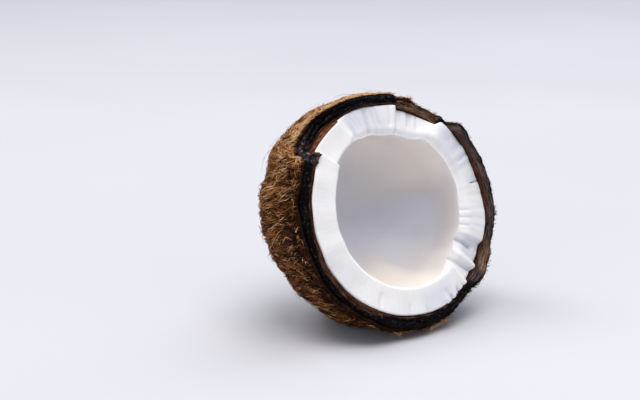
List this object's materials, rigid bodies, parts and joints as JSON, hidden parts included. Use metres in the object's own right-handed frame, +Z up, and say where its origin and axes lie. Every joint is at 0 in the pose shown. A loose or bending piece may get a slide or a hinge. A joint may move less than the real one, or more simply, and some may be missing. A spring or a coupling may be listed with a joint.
{
  "type": "coconut half",
  "caption": "Half of a cracked ripe coconut lying on its side, mouth forward and a little up: a thick white flesh cup inside a dark hard shell with a thin coat of husk fibre.",
  "frame": {"origin": "on the surface that the nut lies on, under the middle of its bounds", "axes": "-Y is the way the mouth looks, with the mouth's own axis raised 20 degrees from it; +Z up; +X to the right when the nut is seen from its mouth"},
  "size_m": [0.1219, 0.0879, 0.1096],
  "materials": {
    "white_flesh": "moist, satin",
    "hard_shell": "matt, broken edge",
    "husk_fibre": "matted coarse fibre"
  },
  "bodies": {
    "root": {"white_flesh": "white_flesh", "hard_shell": "hard_shell", "husk_fibre": "husk_fibre"}
  },
  "joints": []
}
